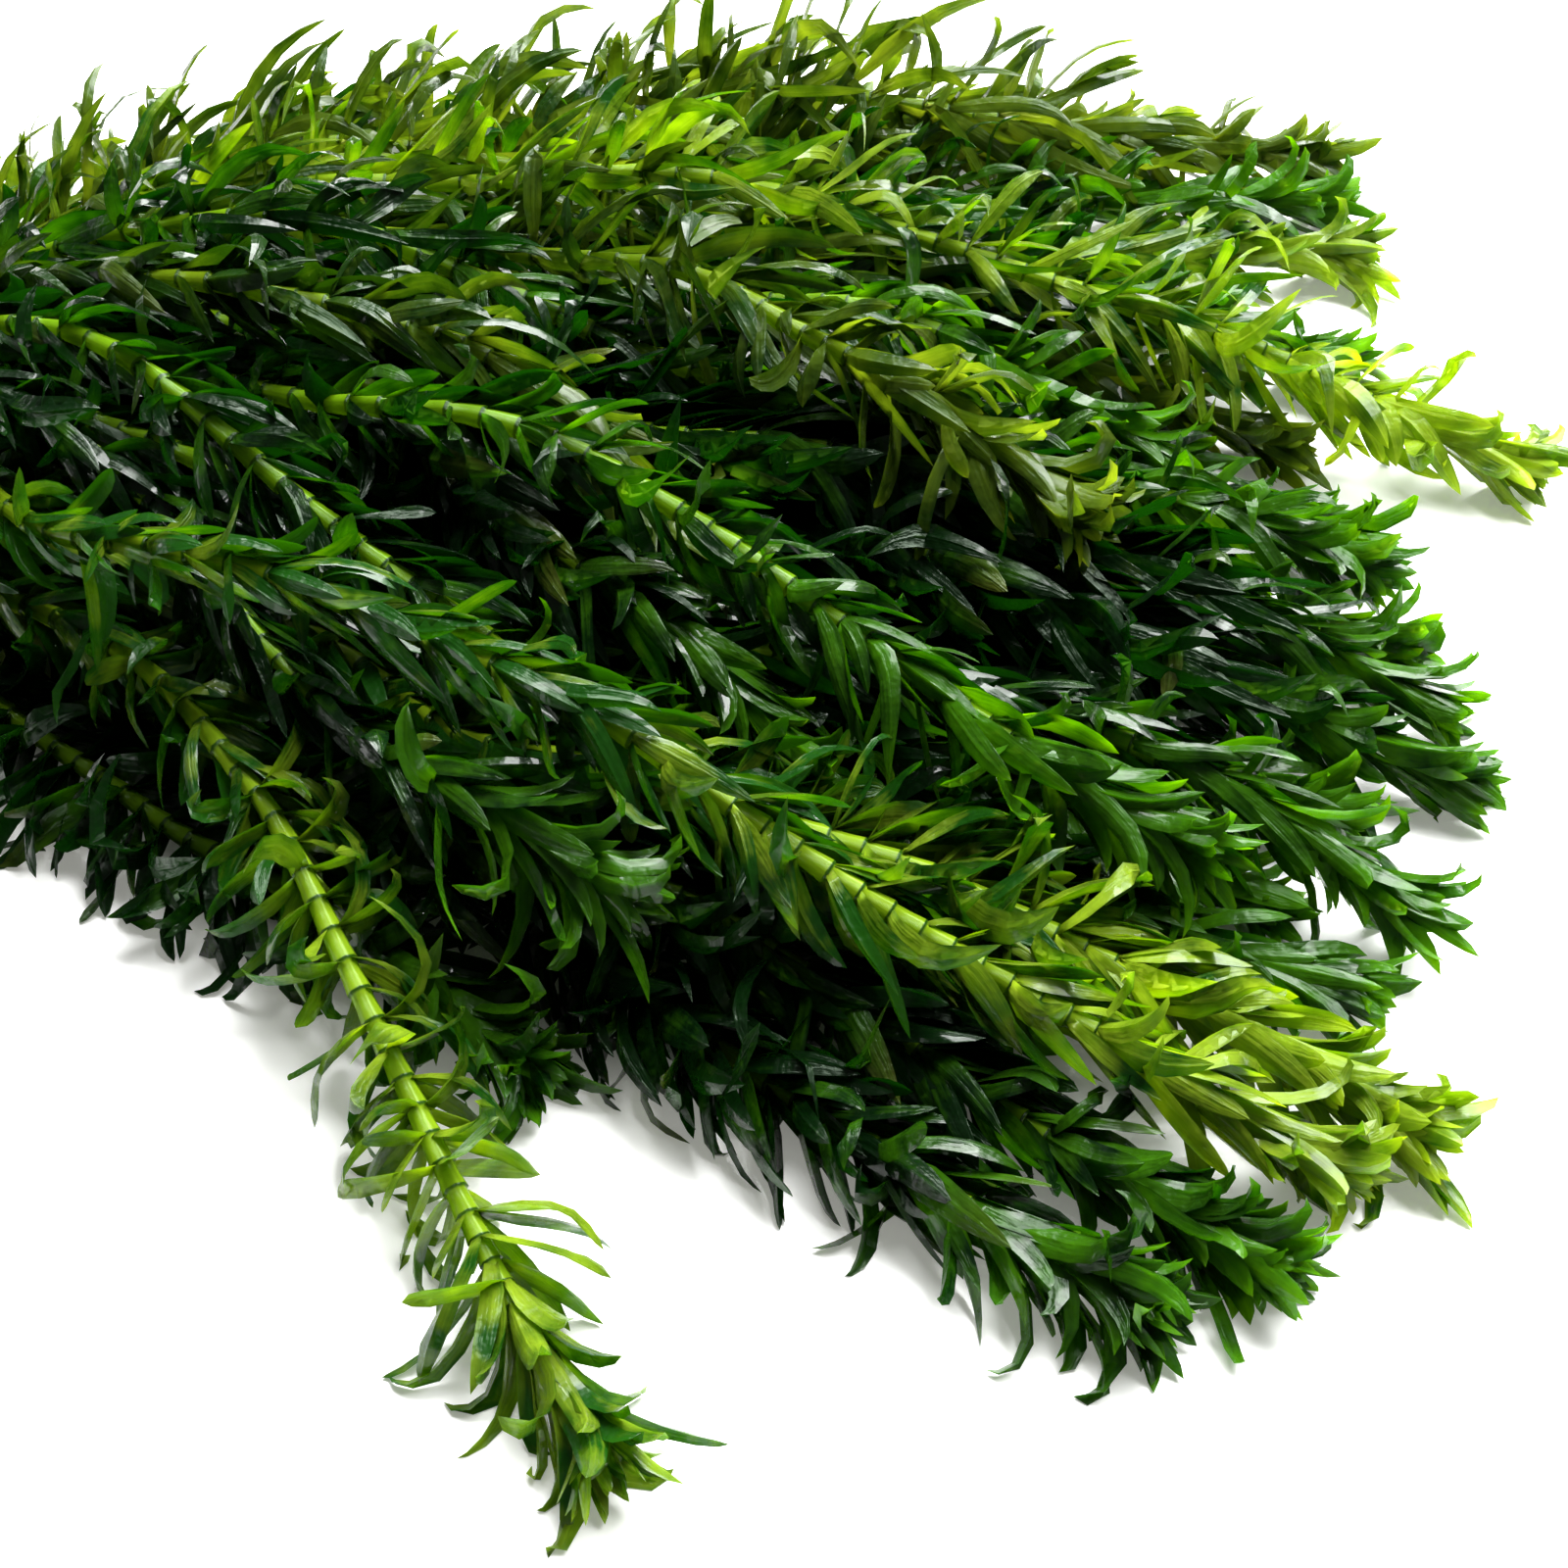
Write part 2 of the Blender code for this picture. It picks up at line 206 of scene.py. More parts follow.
def smooth_curve(places, points, at):
    """Cubic Hermite curve through the points. Its slope at each is the one through the neighbours."""
    slopes = np.gradient(points, places, axis=0)
    first = np.clip(np.searchsorted(places, at, side="right") - 1, 0, len(places) - 2)
    span = (places[first + 1] - places[first])[:, None]
    t = (at - places[first])[:, None] / span
    start = (2 * t**3 - 3 * t**2 + 1) * points[first] + (t**3 - 2 * t**2 + t) * span * slopes[first]
    end = (3 * t**2 - 2 * t**3) * points[first + 1] + (t**3 - t**2) * span * slopes[first + 1]
    return start + end


def shoot_line(node):
    """A shoot's number and its line at even steps: points, directions along, sideways and over it, and
    the leaves' room. The line goes on straight beyond the tip, for leaves that reach past the stem."""
    centres, radii = rings(node)
    gaps = np.linalg.norm(np.diff(centres, axis=0), axis=1)
    places = np.append(0.0, np.cumsum(gaps))
    beyond = centres[-1] + BEYOND * unit(centres[-1] - centres[-2])
    at = np.arange(0.0, places[-1] + BEYOND, STEP)
    points = smooth_curve(np.append(places, places[-1] + BEYOND), np.vstack([centres, beyond]), at)
    along = unit(np.gradient(points, at, axis=0))
    side = unit(np.cross(UP, along))
    tufts = np.arange(FIRST_TUFT_RING, len(radii) - 1, TUFT_TO_TUFT)
    widest = np.concatenate([[0, FIRST_TUFT_RING - 1], tufts])
    return {
        "number": SHOOTS.index(node) + 1,
        "at": at,
        "points": points,
        "along": along,
        "side": side,
        "over": np.cross(along, side),
        "room": np.interp(at, places[widest], radii[widest]),
        "length": places[-1],
        "bare": places[FIRST_TUFT_RING - 1],
    }


LINES = {name: shoot_line(name) for name in SHOOTS}
lengths = [line["length"] / MM for line in LINES.values()]
print("shoots of", round(min(lengths)), "to", round(max(lengths)), "mm")


# %% Read a line at any place
def read(line, what, at):
    """The line's points, directions or room at every place in the array at, between its even steps."""
    table = line[what]
    if table.ndim == 1:
        return np.interp(at, line["at"], table)
    return np.stack([np.interp(at, line["at"], column) for column in table.T], axis=-1)


def smooth(low, high, value):
    """0 below low, 1 above high, and t * t * (3 - 2 t) between them."""
    t = np.clip((value - low) / (high - low), 0.0, 1.0)
    return t * t * (3 - 2 * t)


def away(line, at, turn):
    """The direction away from the stem there, with the turn round it: cos t * over + sin t * side."""
    return np.cos(turn) * read(line, "over", at) + np.sin(turn) * read(line, "side", at)


# %% [markdown]
# ## Where the whorls sit
#
# The plant grows at its tip, so the youngest whorls are packed there, and the stem between them
# stretches as they age. Adding up one over the spacing counts the whorls, and reading that count
# backwards gives the place of each of them.

# %% Whorls
TIP_REACH = 9 * MM
FIRST_WHORL = 0.4 * MM
COUNT_STEP = 0.1 * MM
SPACING_FROM_TIP = np.array([0, 8, 22, 45, 100, 180, 300, 400]) * MM
SPACING = np.array([2.6, 2.6, 3.2, 4.4, 5.5, 6.6, 8.5, 9.0]) * MM


def whorl_places(line):
    """Distance of each whorl from the tip of the stem."""
    from_tip = np.arange(FIRST_WHORL, line["length"] - TIP_REACH - line["bare"], COUNT_STEP)
    count = np.cumsum(COUNT_STEP / np.interp(from_tip, SPACING_FROM_TIP, SPACING))
    return np.interp(np.arange(0, int(count[-1])), count - count[0], from_tip)


whorl_counts = [len(whorl_places(line)) for line in LINES.values()]
print(min(whorl_counts), "to", max(whorl_counts), "whorls on a shoot,", sum(whorl_counts), "in all")

# %% [markdown]
# ## How each shoot lies
#
# Out of the water the leaves have no lift. Most are pressed forward along the stem by their wet
# neighbours and make thick, shiny ropes. In some stretches they are combed to both sides, and the
# yellow-green stem shows between them. A slow random wave along each shoot says how open it is.
#
# What is special about a shoot in the photo is listed for its number: its open stretch in mm from
# the tip of the stem, how loosely its leaves stand up, and how much older or younger than usual they
# look. The lowest shoots are matted with the leaves of others.

# %% What is special about a shoot
OPEN_STRETCHES = {
    1: (38, 115), 2: (15, 105), 3: (45, 140), 4: (40, 160), 5: (60, 190), 6: (40, 110),
    7: (40, 120), 9: (50, 130), 11: (30, 80), 23: (40, 110), 24: (45, 120)}
LOOSE = {7: 0.5, 8: 0.5, 9: 0.4, 10: 1.0, 11: 0.8, 12: 1.0, 13: 0.7, 32: 1.0}
EXTRA_SPREAD = {1: math.radians(36), 2: math.radians(8)}
MORE_CURLED = {1: 0.4, 2: 0.3, 5: 0.25}
AGE_SHIFT = {
    1: -0.30, 4: -0.10, 5: -0.35, 7: -0.30, 8: -0.15, 9: -0.25, 10: -0.70, 11: -0.55,
    12: -0.75, 13: -0.50, 15: -0.20, 16: 0.20, 18: 0.25, 19: 0.30, 20: 0.20, 22: -0.10,
    23: -0.30, 24: -0.25, 25: 0.30, 26: 0.15, 27: 0.10, 28: 0.30, 32: -0.75}
TIP_AGE = {1: 0.5, 2: 0.2, 27: 0.2}
FRESH_FRONT = {1, 23, 24}
MATTED = {2, *range(14, 21), 22, 23, *range(26, 36)}
UNDERLAYER = {*range(17, 21), *range(28, 32), *range(33, 36)}

# %% Openness
WAVE_LENGTHS = np.array([95, 57, 38]) * MM
WAVE_SHARES = np.array([0.5, 0.3, 0.2])
MEAN_OPENNESS, WAVE_HEIGHT = 0.22, 0.45
STRETCH_EDGE = 15 * MM


def openness(shoot, from_tip, rng):
    """0 where the leaves are pressed to a rope, 1 where they are combed apart: a sum of three slow sines
    with random phases, lifted on the shoot's open stretch."""
    phases = rng.uniform(0, 2 * math.pi, len(WAVE_LENGTHS))
    waves = WAVE_SHARES * np.sin(2 * math.pi * from_tip[:, None] / WAVE_LENGTHS + phases)
    level = np.clip(MEAN_OPENNESS + WAVE_HEIGHT * waves.sum(axis=1), 0.0, 1.0)
    start, end = np.array(OPEN_STRETCHES.get(shoot, (0, 0))) * MM
    named = smooth(start - STRETCH_EDGE, start + STRETCH_EDGE, from_tip)
    named = named * (1 - smooth(end - STRETCH_EDGE, end + STRETCH_EDGE, from_tip))
    return np.maximum(level, named if end > start else 0.0)


print(len(OPEN_STRETCHES), "shoots have an open stretch of their own")

# %% [markdown]
# ## The leaves' measures
#
# Every leaf is a row of numbers: where it sits, which way round the stem it points, how long and wide
# it is, how steeply it leaves the stem and how steep it is at its end. All leaves of a shoot are worked
# out together as arrays. What changes along it does so softly, on a stretch given in mm from its tip.
# A whorl has six leaves, of which one is often lost. In the mat it has up to fifteen, turned flat, which
# stand for the loose leaves that lie tangled there. The chance in them has a seed for each shoot, so
# each run gives the same bunch.

# %% Named measures
LEAVES_IN_WHORL = 6
LEAVES_IN_MATTED_WHORL = 15
LENGTH_FROM_TIP = np.array([0, 5, 13, 30, 60, 400]) * MM
LEAF_LENGTH = np.array([4.5, 11.0, 20.5, 18.0, 16.0, 17.0]) * MM
LEAF_WIDTH = np.array([2.1, 3.3, 4.0, 3.9, 3.6, 3.5]) * MM
LEAF_BLUNTNESS = np.array([4.5, 5.5, 5.2, 4.6, 4.2, 4.0])
TONE_STRETCH = {"olive_leaves": 1.2}
STRETCHES = {
    "bud opens": (-6, 8), "ends open": (-2, 4), "tuft begins": (3, 9), "tuft ends": (18, 42),
    "combed": (10, 30), "spread": (12, 30), "tone": (10, 60), "loose": (20, 90), "mat": (28, 75),
    "age": (0, 85), "age shift": (10, 50), "tip age ends": (20, 60), "front ends": (80, 140)}
SHARES = {"standing": 0.4, "curled": 0.16, "stray": 0.17, "flattened": 0.8, "combed": 0.7}
JITTER = {"turn": 0.22, "wild": 0.24, "length": 0.14, "width": 0.12, "swerve": 0.6, "twist": 0.65}
RANGES = {
    "combed": (0.6, 1.25), "blunt": (0.75, 1.2), "stray length": (0.6, 1.0), "bend": (0.8, 1.6),
    "roll": (-1.4, 1.4), "cup": (0.1, 0.55), "droop": (0.1, 0.7), "mat at end": (0.2, 2.2)}


def slot_of(name):
    """The record's material slot of a node, which its CAD material is named for."""
    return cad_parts[name].data.materials[0].name


def past(stretch, from_tip):
    """0 nearer to the tip than that stretch and 1 beyond it."""
    low, high = STRETCHES[stretch]
    return smooth(low * MM, high * MM, from_tip)


# %% Kinds of leaves
WILD_IF_OPEN, WILD_IF_LOOSE = 0.75, 0.6
STRAY_FROM = 25 * MM
LOOSE_LENGTH = 0.65


def leaf_kinds(line, slot, rng):
    """For each leaf its distance from the tip, its turn round the stem with 0 straight up, its length,
    and how loose, wild, curled and so on it is."""
    whorls = whorl_places(line)
    shoot, matted = line["number"], line["number"] in MATTED
    open_level = openness(shoot, whorls, rng)
    leaves = LEAVES_IN_MATTED_WHORL if matted else LEAVES_IN_WHORL
    whorl, leaf = np.indices((len(whorls), leaves)).reshape(2, -1)
    from_tip, opened = whorls[whorl], open_level[whorl]
    count = len(whorl)
    phase = rng.uniform(0, 2 * math.pi, len(whorls))
    turn = 2 * math.pi * leaf / leaves + phase[whorl] + rng.normal(0, JITTER["turn"], count)
    loose = LOOSE.get(shoot, 0.0) * past("loose", from_tip)
    standing = loose * (rng.random(count) < SHARES["standing"])
    wild = WILD_IF_OPEN * opened + WILD_IF_LOOSE * loose
    wild = np.clip(wild + rng.normal(0, JITTER["wild"], count), 0, 1)
    curled = rng.random(count) < MORE_CURLED.get(shoot, SHARES["curled"])
    stray = (rng.random(count) < SHARES["stray"]) & (from_tip > STRAY_FROM)
    length = np.interp(from_tip, LENGTH_FROM_TIP, LEAF_LENGTH) * rng.normal(1, JITTER["length"], count)
    length = length * TONE_STRETCH.get(slot, 1.0) ** past("tone", from_tip)
    in_tuft = past("tuft begins", from_tip) * (1 - past("tuft ends", from_tip))
    return {"from_tip": from_tip, "turn": (turn + math.pi) % (2 * math.pi) - math.pi,
            "open": opened, "loose": loose, "standing": standing, "wild": wild, "curled": curled,
            "stray": stray, "length": length * (1 + LOOSE_LENGTH * loose), "in_tuft": in_tuft,
            "inner": matted * past("mat", from_tip)}


# %% Slopes of leaves
START = {"pressed": 16, "wild": 32, "jitter": 8}
END = {"pressed": 2, "wild": 36, "jitter": 12}
TUFT_END = (15, 105)
CURL_AT_BASE, CURL_AT_END = (0, 25), (20, 95)
STEEP = {"stray": ((50, 100), (-75, 60)), "standing": ((45, 85), (-25, 15))}
SLEEVE_ANGLE, SLEEVE_SHARE = math.radians(9), 0.8
MATTED_SPREAD = math.radians(50)
FLATTENED = 0.65


def leaf_slopes(shoot, kind, rng):
    """Each leaf's turn round the stem, and its slopes away from the stem at its base and at its end.
    START, END and the pairs are in degrees, and a second pair is added to the first."""
    count = len(kind["turn"])
    turn, inner, in_tuft = kind["turn"], kind["inner"], kind["in_tuft"]

    def degrees(low_and_high):
        return np.radians(rng.uniform(*low_and_high, count))

    def usual(slope):
        jitter = rng.normal(0, slope["jitter"], count)
        return np.radians(slope["pressed"] + slope["wild"] * kind["wild"] + jitter)

    flat = np.sign(turn) * (math.pi / 2 + (np.abs(turn) - math.pi / 2) * (1 - FLATTENED))
    turn = turn + (flat - turn) * inner * (rng.random(count) < SHARES["flattened"])
    extra = EXTRA_SPREAD.get(shoot, 0.0) * kind["open"] * past("spread", kind["from_tip"])
    extra = extra + MATTED_SPREAD * inner * rng.random(count)
    start = usual(START) + extra
    start = start + (SLEEVE_ANGLE - start) * SLEEVE_SHARE * in_tuft
    end = usual(END) + extra * rng.uniform(*RANGES["mat at end"], count)
    end = end + in_tuft * degrees(TUFT_END)
    start = np.where(kind["curled"], start + degrees(CURL_AT_BASE), start)
    end = np.where(kind["curled"], end + degrees(CURL_AT_END), end)
    for what, (at_base, more_at_end) in STEEP.items():
        start = np.where(kind[what] > 0, degrees(at_base), start)
        end = np.where(kind[what] > 0, start + degrees(more_at_end), end)
    return turn, start, end


def leaf_age(shoot, from_tip):
    """0 for a young leaf and 1 for an old one. It rises from the tip on, and is shifted for some shoots."""
    shift = AGE_SHIFT.get(shoot, 0.0) * past("age shift", from_tip)
    if shoot in FRESH_FRONT:
        shift = shift * (1 - past("front ends", from_tip))
    shift = shift + TIP_AGE.get(shoot, 0.0) * (1 - past("tip age ends", from_tip))
    return np.clip(past("age", from_tip) + shift, 0, 1)


# %% All measures
LOST_SHARE, LOST_IN_MATTED_TUFT = 0.16, 0.58
CURLED_LENGTH = 1.1
INNER_LENGTH, UNDERLAYER_LENGTH = 0.25, 0.35
LOOSE_NARROWER, MATTED_WIDER, INNER_WIDER = 0.05, 0.05, 0.2
WILD_REACH, LOOSE_REACH, MATTED_REACH, TUFT_REACH = 9.0 * MM, 10.0 * MM, 8.0 * MM, 7.0 * MM
STANDING_UPRIGHT = 0.6
TUFT_BEND, TUFT_CUP, LEAST_TWIST = 1.5, 0.25, 0.3


def leaf_measures(line, slot, rng):
    """One number per leaf for each measure, without the leaves that are lost."""
    shoot, matted = line["number"], line["number"] in MATTED
    kind = leaf_kinds(line, slot, rng)
    turn, start, end = leaf_slopes(shoot, kind, rng)
    from_tip, wild, standing = kind["from_tip"], kind["wild"], kind["standing"]
    loose, inner, in_tuft = kind["loose"], kind["inner"], kind["in_tuft"]
    count = len(turn)

    def drawn(what):
        return rng.uniform(*RANGES[what], count)

    lost = np.where(matted & (inner < rng.random(count)), LOST_IN_MATTED_TUFT, LOST_SHARE)
    kept = rng.random(count) > lost
    combed = kind["open"] * (rng.random(count) < SHARES["combed"]) * drawn("combed") * (1 - standing)
    blunt = np.interp(from_tip, LENGTH_FROM_TIP, LEAF_BLUNTNESS) * drawn("blunt")
    free = np.where(kind["curled"] | kind["stray"], 1.0, wild)
    stretch = np.where(kind["curled"], CURLED_LENGTH, np.where(kind["stray"], drawn("stray length"), 1.0))
    measures = {
        "place": line["length"] - TIP_REACH - from_tip,
        "turn": turn * (1 - STANDING_UPRIGHT * standing),
        "wild": free,
        "combed": combed * past("combed", from_tip),
        "blunt": blunt,
        "length": kind["length"] * stretch
                  * (1 + INNER_LENGTH * inner + UNDERLAYER_LENGTH * inner * (shoot in UNDERLAYER)),
        "width": np.interp(from_tip, LENGTH_FROM_TIP, LEAF_WIDTH) * rng.normal(1, JITTER["width"], count)
                 * (1 - LOOSE_NARROWER * loose) * (1 + MATTED_WIDER * matted + INNER_WIDER * inner),
        "reach": WILD_REACH * free + LOOSE_REACH * loose + MATTED_REACH * inner + TUFT_REACH * in_tuft,
        "start": start * past("bud opens", from_tip),
        "end": end * past("ends open", from_tip),
        "bend": drawn("bend") + TUFT_BEND * in_tuft,
        "swerve": rng.normal(0, JITTER["swerve"], count),
        "twist": rng.normal(0, JITTER["twist"], count) * (LEAST_TWIST + wild),
        "roll": drawn("roll") * standing,
        "cup": drawn("cup") + TUFT_CUP * in_tuft,
        "droop": drawn("droop") * (1 - standing),
        "age": leaf_age(shoot, from_tip),
        "chance": rng.random(count),
    }
    return {key: values[kept] for key, values in measures.items()}


# %% [markdown]
# ## The middle line of a leaf
#
# A leaf is worked out in the stem's own terms: how far along the stem its point is, how far out from
# it, and which way round. So it follows every bend of the stem by itself. How far out it may go is
# limited by the room that the CAD model gives it, softly, so that no leaf shows a kink. Leaves near
# the ground are laid on it in the same soft way.

# %% Middle lines of leaves
RING_PLACES = np.array([0.0, 0.13, 0.28, 0.46, 0.64, 0.80, 0.92, 1.0])
ROWS = len(RING_PLACES) - 1
STEM_RADIUS = 1.6 * MM
BASE_DEPTH = 0.8
ROOM_FACTOR, ROOM_SOFTNESS = 1.1, 0.6
LEAST_ROOM = 6.0 * MM
COMB_ANGLE = 1.25
GROUND_SOFTNESS = 2.2 * MM
LEAF_LIFT = 0.15 * MM
TOP_LIMIT = float(CAD_HIGH.z) + 0.1 * MM
TOP_SOFTNESS = 6 * MM


def limited(value, limit, soft):
    """The value while it is more than soft under the limit, and from there softly towards the limit:
    L - s + s tanh((x - (L - s)) / s)."""
    knee = limit - soft
    return np.where(value < knee, value, knee + soft * np.tanh((value - knee) / soft))


def laid_on_ground(height):
    """Heights under the softness h become h * exp(z / h - 1), which nears 0 but never gets below it."""
    soft = GROUND_SOFTNESS * np.exp(np.minimum(height, GROUND_SOFTNESS) / GROUND_SOFTNESS - 1)
    return np.where(height < GROUND_SOFTNESS, soft, height) + LEAF_LIFT


def middle_lines(line, leaf):
    """Points of each leaf's middle from its base to its tip. With the slope a(u) going from start to end
    as u to the power of the bend, the way along the stem is the sum of cos a and the way out is the sum
    of sin a, times the length. A leaf swerves round the stem by u^1.5, and a wild one droops by u^2."""
    u = RING_PLACES
    column = {key: values[:, None] for key, values in leaf.items()}
    slope = column["start"] + (column["end"] - column["start"]) * u ** column["bend"]
    middle = (slope[:, 1:] + slope[:, :-1]) / 2
    share = column["length"] * np.diff(u)
    steps = np.stack([np.cos(middle) * share, np.sin(middle) * share])
    forward, outward = np.cumsum(np.pad(steps, ((0, 0), (0, 0), (1, 0))), axis=2)
    place = np.clip(column["place"] + forward, 0, line["at"][-1])
    room = np.maximum(ROOM_FACTOR * read(line, "room", place), LEAST_ROOM) + column["reach"]
    out = limited(STEM_RADIUS * BASE_DEPTH + outward, room, ROOM_SOFTNESS * room)
    turn = (base_turn(leaf)[:, None] + column["swerve"] * u**1.5)[..., None]
    points = read(line, "points", place) + out[..., None] * away(line, place, turn)
    droop = column["droop"] * column["length"] * column["wild"] * u**2
    height = points[..., 2] - droop * np.abs(np.sin(turn[..., 0]))
    points[..., 2] = laid_on_ground(limited(height, TOP_LIMIT, TOP_SOFTNESS))
    return points


def base_turn(leaf):
    """Which way round the stem a leaf's base points. Combed leaves on top move over to the sides."""
    turn = leaf["turn"]
    return turn + np.sign(turn) * np.maximum(COMB_ANGLE - np.abs(turn), 0) * np.minimum(leaf["combed"], 1)


# %% Neighbours
NEIGHBOUR_STEP = 3
NO_CLEARANCE, FULL_CLEARANCE = 3.0 * MM, 9.0 * MM
KEPT_IF_PRESSED = {"wild": 0.25, "reach": 0.25, "start": 0.6, "end": 0.2}


def pressed_by_neighbours(line, leaf):
    """Leaves whose ends would reach another shoot's line are pressed: their spread is taken back by how
    near that line is."""
    ends = middle_lines(line, leaf)[:, -1]
    others = [other["points"][::NEIGHBOUR_STEP] for other in LINES.values() if other is not line]
    others = np.concatenate(others)
    squares = (ends**2).sum(axis=1)[:, None] + (others**2).sum(axis=1) - 2 * ends @ others.T
    clear = smooth(NO_CLEARANCE, FULL_CLEARANCE, np.sqrt(np.maximum(squares.min(axis=1), 0)))
    pressed = {key: leaf[key] * (kept + (1 - kept) * clear) for key, kept in KEPT_IF_PRESSED.items()}
    return {**leaf, **pressed}


# %% [markdown]
# ## The blade
#
# The blade is a flat lens: a ring of four corners, over, right, under and left, carried along the middle
# line and closed in a point. It is a quarter of a millimetre thick, narrows where it clasps the stem and
# is hollow towards the stem like a gutter. Its two margins are marked sharp, and on half of the leaves
# the middle too, as a fold. So light makes a thin bright edge there and the faces stay smooth.

# %% Blade rings
BLADE_THICKNESS = 0.26 * MM
THINNEST = 0.35
CORNERS = 4
FOLDED_SHARE, FOLDED_DEEPER = 0.5, 0.6
ROLLED_AT = 0.25
CLASPING_WIDTH, WIDEST_AT = 0.6, 0.3
TIP_ROUNDNESS = 0.8
LOWEST_LEAF = 0.05 * MM


def blade_outline(u, blunt):
    """Share of the full width at u: clasp * (1 - u^b)^r, r being the tip's roundness. A larger bluntness
    b keeps the sides parallel for longer."""
    clasp = CLASPING_WIDTH + (1 - CLASPING_WIDTH) * smooth(0, WIDEST_AT, u)
    return clasp * np.maximum(1 - u**blunt, 0) ** TIP_ROUNDNESS


def blade_points(line, leaf):
    """Corners of every ring of every leaf, and the tips. At each ring the corners are the middle plus or
    minus half the thickness along the normal, and plus or minus half the width across, moved back along
    the normal by the hollow. A standing leaf rolls at its base, and every leaf is twisted by u."""
    middle = middle_lines(line, leaf)
    u = RING_PLACES
    along = unit(np.gradient(middle, axis=1))
    place = leaf["place"][:, None]
    out = away(line, place, base_turn(leaf)[:, None, None])
    across = np.cross(read(line, "along", place), out) + 0 * along
    across = unit(across - along * (across * along).sum(axis=-1, keepdims=True))
    normal = np.cross(across, along)
    roll = (leaf["roll"][:, None] * smooth(0, ROLLED_AT, u) + leaf["twist"][:, None] * u)[..., None]
    across, normal = (
        np.cos(roll) * across + np.sin(roll) * normal,
        np.cos(roll) * normal - np.sin(roll) * across,
    )
    outline = blade_outline(u, leaf["blunt"][:, None])[..., None]
    half = leaf["width"][:, None, None] * outline / 2
    folded = 1 + FOLDED_DEEPER * (leaf["chance"] < FOLDED_SHARE)
    hollow = (leaf["cup"] * folded)[:, None, None] * half
    thick = BLADE_THICKNESS * (THINNEST + (1 - THINNEST) * outline) / 2
    ring = np.stack([
        middle + thick * normal,
        middle + half * across - hollow * normal,
        middle - thick * normal,
        middle - half * across - hollow * normal,
    ], axis=2)
    rings_part = ring[:, :-1].reshape(len(middle), -1, 3)
    points = np.concatenate([rings_part, middle[:, -1:]], axis=1)
    points[..., 2] = np.maximum(points[..., 2], LOWEST_LEAF)
    return points


# %% Faces
TURNED_OVER = [0, 3, 2, 1]


def quads_of(rows, columns, rows_closed=False, columns_closed=True):
    """Quads between neighbouring rows of points as corner numbers. A closed row is a ring, and closed
    rows go on from the last to the first."""
    row, column = np.indices((rows - (not rows_closed), columns - (not columns_closed)))
    here, below = row * columns, (row + 1) % rows * columns
    after = (column + 1) % columns
    return np.stack([here + column, here + after, below + after, below + column], axis=-1).reshape(-1, 4)


def fan(first, count, centre):
    """Triangles from the ring whose first corner that is to a centre."""
    corner = np.arange(count)
    return np.stack([first + corner, first + (corner + 1) % count, np.full(count, centre)], axis=1)


BLADE_QUADS = np.concatenate([quads_of(ROWS, CORNERS), np.arange(CORNERS)[None, ::-1]])
BLADE_TIPS = fan((ROWS - 1) * CORNERS, CORNERS, ROWS * CORNERS)
BLADE_COUNT = ROWS * CORNERS + 1
print("a blade has", 2 * len(BLADE_QUADS) + len(BLADE_TIPS), "triangles")

# %% [markdown]
# ## The stem
#
# The stem is a profile carried along the shoot's line. At each whorl it swells to a low collar, where the
# leaf bases clasp it. So each length of stem gets four rings: on the collar, just in front of it,
# halfway, and just behind the next one.

# %% Stem rings
STEM_SIDES = 8
RINGS_IN_LENGTH = np.array([0.0, 0.07, 0.5, 0.95])
RING_SWELL = np.array([1.14, 0.92, 0.98, 1.12])
SCAR_SPACING = 8.5 * MM
CUT_JOINT, CUT_SWELL = -0.5, 0.94
YOUNG_STEM, YOUNG_RADIUS = 40 * MM, 0.5
STEM_POINT = 1.2 * MM
LOWEST_STEM = 0.02 * MM


def stem_stations(line, whorls):
    """Places of the stem's rings from the cut end, their radius and how many joints they are from the cut
    end, in parts of a joint. The radius is the stem's, half of it at the tip, times the swelling."""
    scars = np.arange(SCAR_SPACING / 2, line["bare"], SCAR_SPACING)
    nodes = np.concatenate([scars, np.sort(line["length"] - TIP_REACH - whorls)])
    places = np.append(0.0, nodes[:-1, None] + np.diff(nodes)[:, None] * RINGS_IN_LENGTH)
    joint = np.append(CUT_JOINT, np.arange(len(nodes) - 1)[:, None] + RINGS_IN_LENGTH)
    swell = np.append(CUT_SWELL, np.tile(RING_SWELL, len(nodes) - 1))
    grown = smooth(0, YOUNG_STEM, line["length"] - TIP_REACH - places)
    return places, STEM_RADIUS * (YOUNG_RADIUS + (1 - YOUNG_RADIUS) * grown) * swell, joint


def stem_points(line, places, radii):
    """Rings of the stem: centre + radius * (cos a * over + sin a * side), and its two end points."""
    angle = np.linspace(0, 2 * math.pi, STEM_SIDES, endpoint=False)[None, :, None]
    centres = read(line, "points", places)[:, None]
    ring = centres + radii[:, None, None] * away(line, places[:, None], angle)
    ring[..., 2] = np.maximum(ring[..., 2], LOWEST_STEM)
    tip = centres[-1] + STEM_POINT * read(line, "along", places[-1:])
    return np.concatenate([ring.reshape(-1, 3), centres[0], tip])


def stem_faces(count):
    """Quads between the stem's rings, and the triangles that close its cut end and its tip."""
    quads = quads_of(count, STEM_SIDES)[:, TURNED_OVER]
    cut = fan(0, STEM_SIDES, count * STEM_SIDES)
    tip = fan((count - 1) * STEM_SIDES, STEM_SIDES, count * STEM_SIDES + 1)[:, [1, 0, 2]]
    return quads, np.concatenate([cut, tip])


# %% [markdown]
# ## Materials
#
# A material is a small calculation that Blender repeats for each point of a surface. A wire between two
# nodes is wrapped in a class that knows plus, minus and times, so that the sum for a colour or a
# roughness can be written as a sum.


